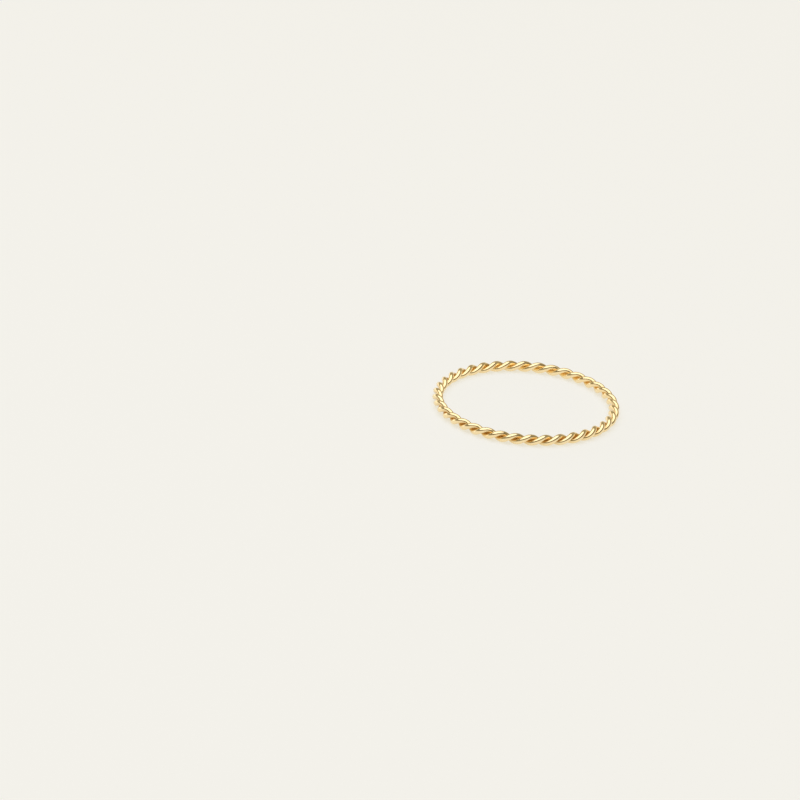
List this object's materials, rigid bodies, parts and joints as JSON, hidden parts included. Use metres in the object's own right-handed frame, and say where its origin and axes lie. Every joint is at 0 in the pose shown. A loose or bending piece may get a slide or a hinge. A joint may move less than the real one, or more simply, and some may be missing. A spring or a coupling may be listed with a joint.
{
  "type": "twisted stacking ring",
  "caption": "Slim finger ring of round gold wires twisted together into a rope band and soldered closed, worn alone or stacked.",
  "frame": {"origin": "middle of the finger hole, on the surface that the ring rests on when it lies on its side", "axes": "+Z along the finger hole, up from the resting side; +X and +Y in the plane of the band, +X through a crest where the wires lie side by side across the band"},
  "size_m": [0.0196, 0.0196, 0.0012],
  "materials": {
    "gold": "polished yellow gold, softly burnished on the crests"
  },
  "bodies": {
    "root": {"twisted_band": "gold"}
  },
  "joints": []
}
